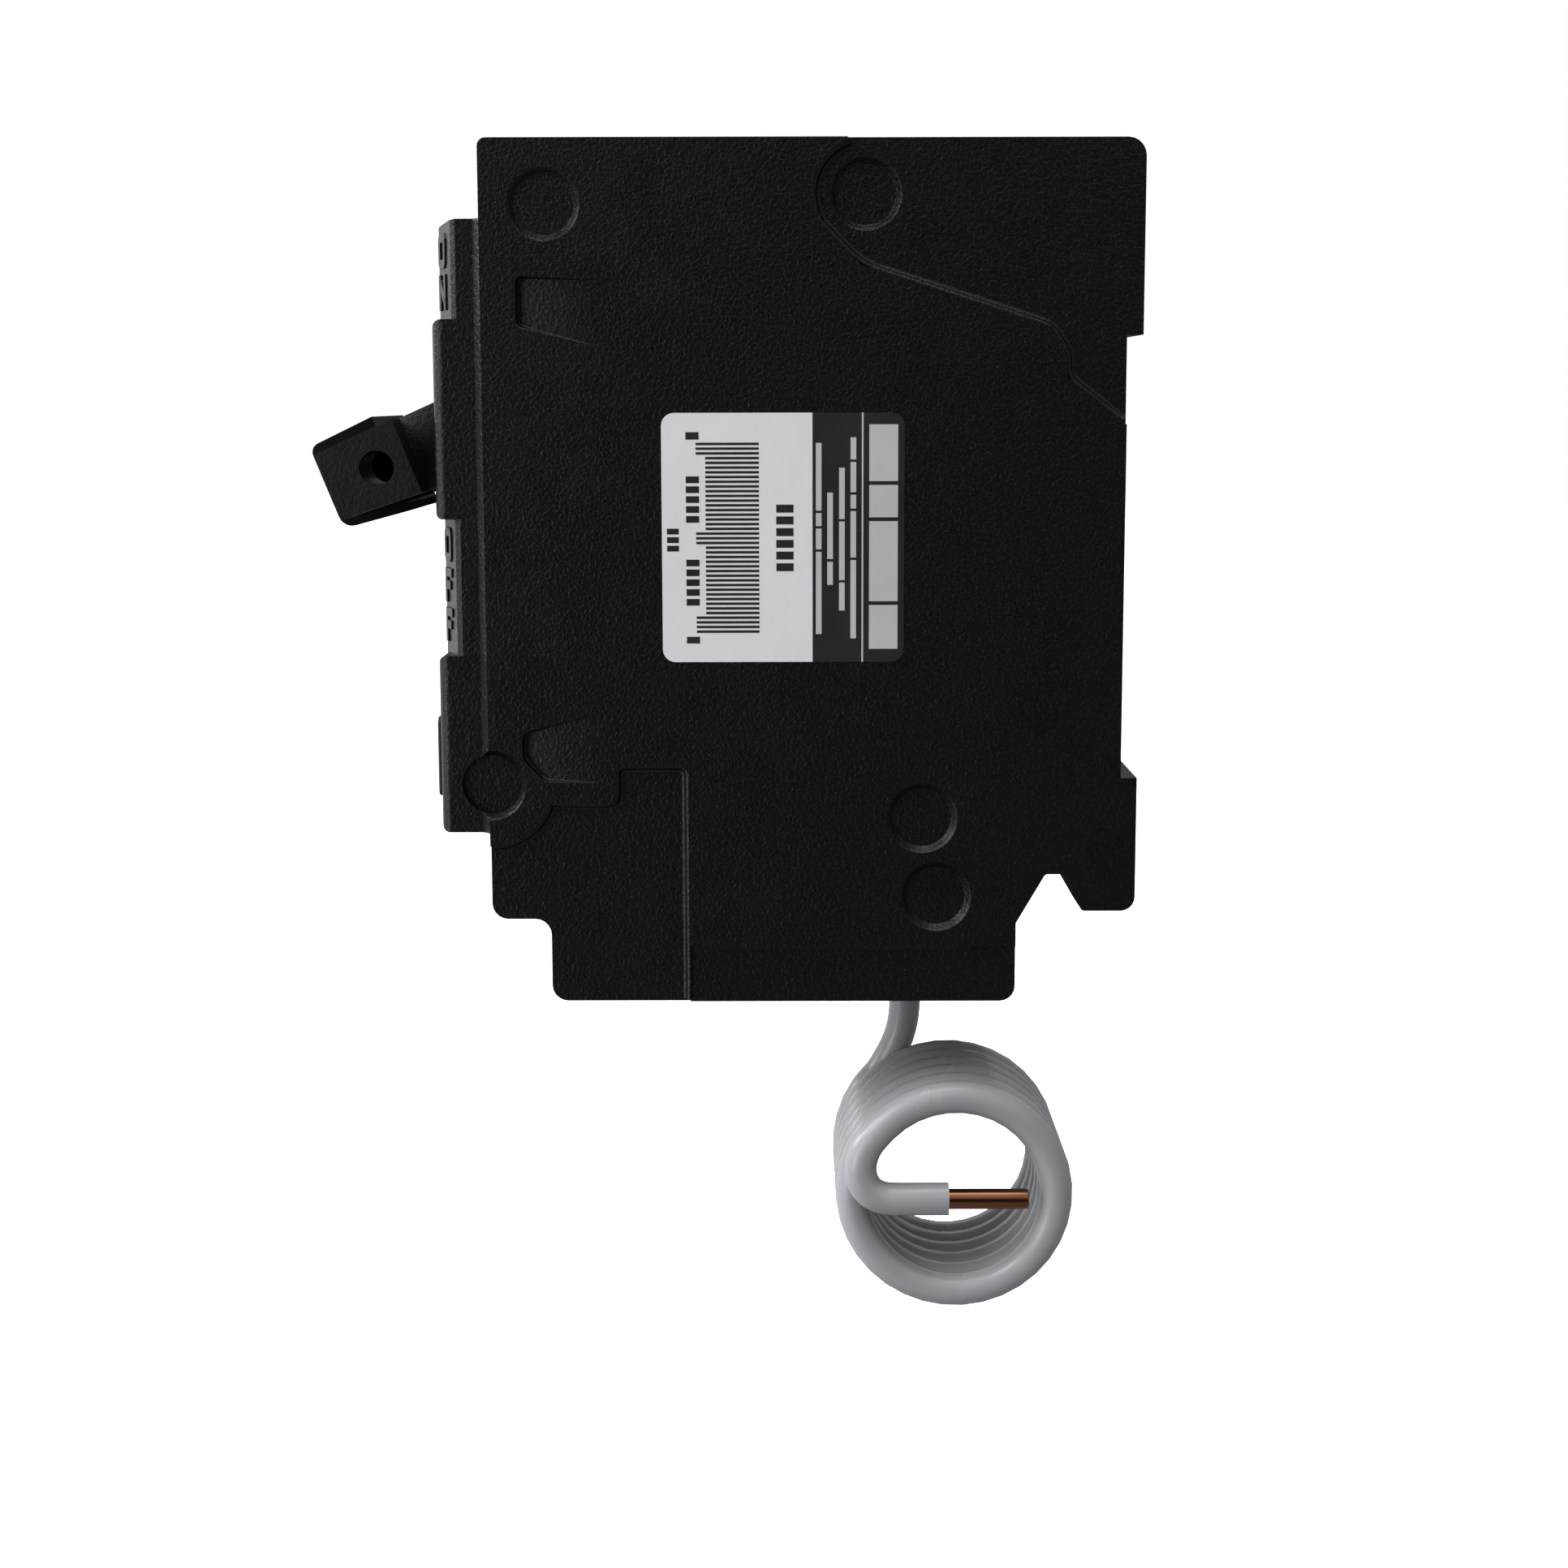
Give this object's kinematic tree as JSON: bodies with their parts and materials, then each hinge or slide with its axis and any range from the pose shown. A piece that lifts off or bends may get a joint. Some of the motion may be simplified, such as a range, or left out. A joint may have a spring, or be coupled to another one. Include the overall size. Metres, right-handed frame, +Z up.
{
  "type": "gfci circuit breaker",
  "caption": "Two-pole plug-on ground-fault circuit breaker with tied handles, test button, rear rail hook and a coiled white neutral pigtail.",
  "frame": {"origin": "middle of the rear seat, the flat back face of the line block, on the breaker's middle plane", "axes": "+Z up towards the line end, +Y out of the back into the panel, -Y the front with the handles, +X the breaker's right side"},
  "size_m": [0.051, 0.0932, 0.1323],
  "materials": {
    "case_black": "fine moulded grain, satin",
    "handle_black": "moulded grain",
    "tie_black": "polished black",
    "barrier_fibre": "fibre board",
    "screw_steel": "zinc plated",
    "pin_steel": "ground",
    "copper": "bare copper",
    "silver_contact": "silver alloy",
    "spring_steel": "bright wire",
    "chute_steel": "nickel plated",
    "bimetal": "rolled strip",
    "lug_aluminium": "tin plated",
    "toroid_wrap": "taped winding",
    "toroid_varnish": "varnished winding",
    "board_green": "solder mask",
    "component_black": "moulded epoxy",
    "coil_winding": "enamelled wire",
    "trip_plastic": "moulded",
    "button_black": "satin",
    "contact_bronze": "phosphor bronze",
    "label_film": "printed film",
    "clamp_plastic": "nylon",
    "cord_white": "white insulation",
    "bare_copper": "drawn copper"
  },
  "bodies": {
    "case": {"right_cover": "case_black", "left_cover": "case_black", "centre_case": "case_black", "barrier_plate": "barrier_fibre", "case_screws": "screw_steel", "pivot_pins": "pin_steel", "fixed_contact_right": "silver_contact", "fixed_contact_left": "silver_contact", "line_jaw_right": "copper", "line_jaw_left": "copper", "jaw_spring_right": "spring_steel", "jaw_spring_left": "spring_steel", "arc_chute_right": "chute_steel", "arc_chute_left": "chute_steel", "bimetal_right": "bimetal", "bimetal_left": "bimetal", "magnet_yoke_right": "chute_steel", "magnet_yoke_left": "chute_steel", "braid_right": "copper", "braid_left": "copper", "load_conductor_right": "copper", "load_conductor_left": "copper", "neutral_conductor": "cord_white", "load_lug_right": "lug_aluminium", "load_lug_left": "lug_aluminium", "neutral_lug": "lug_aluminium", "sense_toroid": "toroid_wrap", "neutral_toroid": "toroid_varnish", "circuit_board": "board_green", "board_components": "component_black", "solenoid_coil": "coil_winding", "solenoid_frame": "chute_steel", "test_spring": "spring_steel", "test_contacts": "contact_bronze", "rating_label": "label_film", "pigtail_clamp": "clamp_plastic", "pigtail_lead": "cord_white", "pigtail_coil": "cord_white", "pigtail_tail": "cord_white", "pigtail_copper": "bare_copper"},
    "handle": {"handle_right": "handle_black", "handle_left": "handle_black", "handle_tie": "tie_black"},
    "arm_right": {"contact_arm_right": "copper", "moving_contact_right": "silver_contact", "toggle_spring_right": "spring_steel"},
    "arm_left": {"contact_arm_left": "copper", "moving_contact_left": "silver_contact", "toggle_spring_left": "spring_steel"},
    "cradle_right": {"cradle_right": "chute_steel"},
    "cradle_left": {"cradle_left": "chute_steel"},
    "armature_right": {"armature_right": "chute_steel"},
    "armature_left": {"armature_left": "chute_steel"},
    "trip_bar": {"trip_bar": "trip_plastic"},
    "plunger": {"solenoid_plunger": "pin_steel"},
    "button": {"test_button": "button_black"},
    "screw_right": {"lug_screw_right": "screw_steel"},
    "screw_left": {"lug_screw_left": "screw_steel"},
    "screw_neutral": {"neutral_screw": "screw_steel"}
  },
  "joints": [
    {"name": "handle_swing", "type": "hinge", "parent": "case", "child": "handle", "pos_m": [0, -0.071, -0.0195], "axis": [-1, 0, 0], "range_deg": [0, 44]},
    {"name": "arm_swing_right", "type": "hinge", "parent": "case", "child": "arm_right", "pos_m": [0, -0.056, -0.0217], "axis": [1, 0, 0], "range_deg": [0, 24], "deforming": ["braid_right", "toggle_spring_right"]},
    {"name": "arm_swing_left", "type": "hinge", "parent": "case", "child": "arm_left", "pos_m": [0, -0.056, -0.0217], "axis": [1, 0, 0], "range_deg": [0, 24], "deforming": ["braid_left", "toggle_spring_left"]},
    {"name": "plunger_pull", "type": "slide", "parent": "case", "child": "plunger", "axis": [0, 1, 0], "range_m": [0, 0.0016], "stiffness_N_per_m": 60, "springref_m": -0.004},
    {"name": "trip_swing", "type": "hinge", "parent": "case", "child": "trip_bar", "pos_m": [0, -0.0435, -0.0477], "axis": [-1, 0, 0], "range_deg": [0, 11.5]},
    {"name": "armature_swing_right", "type": "hinge", "parent": "case", "child": "armature_right", "pos_m": [0, -0.0388, -0.0517], "axis": [-1, 0, 0], "range_deg": [0, 4]},
    {"name": "armature_swing_left", "type": "hinge", "parent": "case", "child": "armature_left", "pos_m": [0, -0.0388, -0.0517], "axis": [-1, 0, 0], "range_deg": [0, 4]},
    {"name": "cradle_swing_right", "type": "hinge", "parent": "case", "child": "cradle_right", "pos_m": [0, -0.06, -0.0007], "axis": [-1, 0, 0], "range_deg": [0, 14]},
    {"name": "cradle_swing_left", "type": "hinge", "parent": "case", "child": "cradle_left", "pos_m": [0, -0.06, -0.0007], "axis": [-1, 0, 0], "range_deg": [0, 14]},
    {"name": "test_press", "type": "slide", "parent": "case", "child": "button", "axis": [0, 1, 0], "range_m": [0, 0.002], "stiffness_N_per_m": 400, "springref_m": -0.002, "deforming": ["test_spring"]},
    {"name": "screw_turn_right", "type": "hinge", "parent": "case", "child": "screw_right", "pos_m": [0.014, -0.0674, -0.0692], "axis": [0, -1, 0], "continuous": true},
    {"name": "screw_turn_left", "type": "hinge", "parent": "case", "child": "screw_left", "pos_m": [-0.014, -0.0674, -0.0692], "axis": [0, -1, 0], "continuous": true},
    {"name": "screw_turn_neutral", "type": "hinge", "parent": "case", "child": "screw_neutral", "pos_m": [0, -0.0674, -0.0692], "axis": [0, -1, 0], "continuous": true}
  ],
  "couplings": [
    {"joint": "arm_swing_right", "follows": "handle_swing", "ratio": 0.5454},
    {"joint": "arm_swing_left", "follows": "handle_swing", "ratio": 0.5454},
    {"joint": "trip_swing", "follows": "plunger_pull", "rad_per_m": 125.3},
    {"joint": "armature_swing_right", "follows": "plunger_pull", "rad_per_m": 43.6},
    {"joint": "armature_swing_left", "follows": "plunger_pull", "rad_per_m": 43.6},
    {"joint": "cradle_swing_right", "follows": "plunger_pull", "rad_per_m": 152.6},
    {"joint": "cradle_swing_left", "follows": "plunger_pull", "rad_per_m": 152.6}
  ]
}
